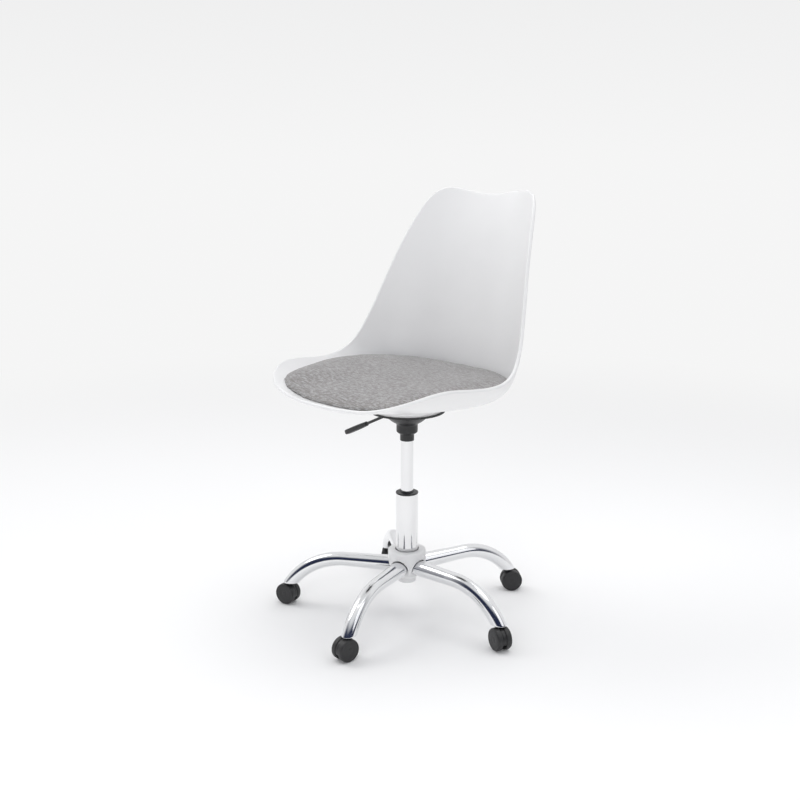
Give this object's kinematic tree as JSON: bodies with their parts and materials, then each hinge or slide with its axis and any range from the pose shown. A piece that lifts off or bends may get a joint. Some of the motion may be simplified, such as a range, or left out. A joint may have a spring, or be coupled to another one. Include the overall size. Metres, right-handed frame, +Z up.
{
  "type": "swivel desk chair",
  "caption": "Height-adjustable swivel desk chair: one-piece plastic shell with a fabric seat pad on a gas column and a bent-tube star base with twin-wheel casters.",
  "frame": {"origin": "on the floor, on the turning axis of the column", "axes": "+Z up along the column, the chair faces -Y, +X to the sitter's left"},
  "size_m": [0.5678, 0.5898, 0.9472],
  "materials": {
    "shell_plastic": "white moulded plastic, satin gloss",
    "pad_fabric": "light grey heathered felt",
    "chrome": "bright chrome plating",
    "column_chrome": "bright chrome tube",
    "hub_plastic": "pale grey satin plastic",
    "steel": "turned steel",
    "brass": "plain brass",
    "black_plastic": "black moulded plastic",
    "black_metal": "black powder coat",
    "wheel_plastic": "near-black hard plastic tread and discs"
  },
  "bodies": {
    "base": {"standpipe": "column_chrome", "pipe_floor": "steel", "column_bush": "black_plastic", "hub_core": "hub_plastic", "hub_cover": "hub_plastic", "stem_sleeves": "steel", "lower_race": "steel", "leg_1": "chrome", "leg_2": "chrome", "leg_3": "chrome", "leg_4": "chrome", "leg_5": "chrome"},
    "spindle": {"piston_rod": "steel", "piston": "black_plastic", "ball_cage": "brass", "upper_race": "steel", "rod_washer": "steel", "rod_clip": "steel"},
    "seat": {"gas_cylinder": "column_chrome", "cylinder_gland": "black_plastic", "mechanism_housing": "black_metal", "seat_plate": "black_metal", "lever_pivot": "steel", "seat_bolts": "black_metal", "seat_inserts": "brass", "seat_shell": "shell_plastic", "seat_cushion": "pad_fabric"},
    "valve": {"release_pin": "steel"},
    "lever": {"lever_rod": "black_metal", "lever_grip": "black_plastic"},
    "caster_1": {"caster_stem_1": "steel", "caster_hood_1": "black_plastic", "caster_axle_1": "steel"},
    "wheel_a_1": {"caster_wheel_a_1": "wheel_plastic"},
    "wheel_b_1": {"caster_wheel_b_1": "wheel_plastic"},
    "caster_2": {"caster_stem_2": "steel", "caster_hood_2": "black_plastic", "caster_axle_2": "steel"},
    "wheel_a_2": {"caster_wheel_a_2": "wheel_plastic"},
    "wheel_b_2": {"caster_wheel_b_2": "wheel_plastic"},
    "caster_3": {"caster_stem_3": "steel", "caster_hood_3": "black_plastic", "caster_axle_3": "steel"},
    "wheel_a_3": {"caster_wheel_a_3": "wheel_plastic"},
    "wheel_b_3": {"caster_wheel_b_3": "wheel_plastic"},
    "caster_4": {"caster_stem_4": "steel", "caster_hood_4": "black_plastic", "caster_axle_4": "steel"},
    "wheel_a_4": {"caster_wheel_a_4": "wheel_plastic"},
    "wheel_b_4": {"caster_wheel_b_4": "wheel_plastic"},
    "caster_5": {"caster_stem_5": "steel", "caster_hood_5": "black_plastic", "caster_axle_5": "steel"},
    "wheel_a_5": {"caster_wheel_a_5": "wheel_plastic"},
    "wheel_b_5": {"caster_wheel_b_5": "wheel_plastic"}
  },
  "joints": [
    {"name": "seat_swivel", "type": "hinge", "parent": "base", "child": "spindle", "pos_m": [0, 0, 0.08], "axis": [0, 0, 1], "continuous": true},
    {"name": "seat_height", "type": "slide", "parent": "spindle", "child": "seat", "axis": [0, 0, 1], "range_m": [-0.12, 0]},
    {"name": "lever_lift", "type": "hinge", "parent": "seat", "child": "lever", "pos_m": [-0.022, 0, 0.467], "axis": [0, 1, 0], "range_deg": [0, 6.5], "stiffness_Nm_per_rad": 2, "springref_deg": -5.73},
    {"name": "valve_travel", "type": "slide", "parent": "seat", "child": "valve", "axis": [0, 0, 1], "range_m": [-0.0025, 0]},
    {"name": "caster_swivel_1", "type": "hinge", "parent": "base", "child": "caster_1", "pos_m": [0.27, 0, 0.05], "axis": [0, 0, 1], "continuous": true},
    {"name": "wheel_a_spin_1", "type": "hinge", "parent": "caster_1", "child": "wheel_a_1", "pos_m": [0.28113, -0.00449, 0.0248], "axis": [0.3746, 0.9272, 0], "continuous": true},
    {"name": "wheel_b_spin_1", "type": "hinge", "parent": "caster_1", "child": "wheel_b_1", "pos_m": [0.28113, -0.00449, 0.0248], "axis": [0.3746, 0.9272, 0], "continuous": true},
    {"name": "caster_swivel_2", "type": "hinge", "parent": "base", "child": "caster_2", "pos_m": [0.08343, 0.25678, 0.05], "axis": [0, 0, 1], "continuous": true},
    {"name": "wheel_a_spin_2", "type": "hinge", "parent": "caster_2", "child": "wheel_a_2", "pos_m": [0.09115, 0.26598, 0.0248], "axis": [-0.766, 0.6428, 0], "continuous": true},
    {"name": "wheel_b_spin_2", "type": "hinge", "parent": "caster_2", "child": "wheel_b_2", "pos_m": [0.09115, 0.26598, 0.0248], "axis": [-0.766, 0.6428, 0], "continuous": true},
    {"name": "caster_swivel_3", "type": "hinge", "parent": "base", "child": "caster_3", "pos_m": [-0.21843, 0.1587, 0.05], "axis": [0, 0, 1], "continuous": true},
    {"name": "wheel_a_spin_3", "type": "hinge", "parent": "caster_3", "child": "wheel_a_3", "pos_m": [-0.22479, 0.16888, 0.0248], "axis": [-0.848, -0.5299, 0], "continuous": true},
    {"name": "wheel_b_spin_3", "type": "hinge", "parent": "caster_3", "child": "wheel_b_3", "pos_m": [-0.22479, 0.16888, 0.0248], "axis": [-0.848, -0.5299, 0], "continuous": true},
    {"name": "caster_swivel_4", "type": "hinge", "parent": "base", "child": "caster_4", "pos_m": [-0.21843, -0.1587, 0.05], "axis": [0, 0, 1], "continuous": true},
    {"name": "wheel_a_spin_4", "type": "hinge", "parent": "caster_4", "child": "wheel_a_4", "pos_m": [-0.23008, -0.1616, 0.0248], "axis": [0.2419, -0.9703, 0], "continuous": true},
    {"name": "wheel_b_spin_4", "type": "hinge", "parent": "caster_4", "child": "wheel_b_4", "pos_m": [-0.23008, -0.1616, 0.0248], "axis": [0.2419, -0.9703, 0], "continuous": true},
    {"name": "caster_swivel_5", "type": "hinge", "parent": "base", "child": "caster_5", "pos_m": [0.08343, -0.25678, 0.05], "axis": [0, 0, 1], "continuous": true},
    {"name": "wheel_a_spin_5", "type": "hinge", "parent": "caster_5", "child": "wheel_a_5", "pos_m": [0.0826, -0.26876, 0.0248], "axis": [0.9976, -0.0698, 0], "continuous": true},
    {"name": "wheel_b_spin_5", "type": "hinge", "parent": "caster_5", "child": "wheel_b_5", "pos_m": [0.0826, -0.26876, 0.0248], "axis": [0.9976, -0.0698, 0], "continuous": true}
  ],
  "couplings": [
    {"joint": "valve_travel", "follows": "lever_lift", "m_per_rad": -0.022}
  ]
}
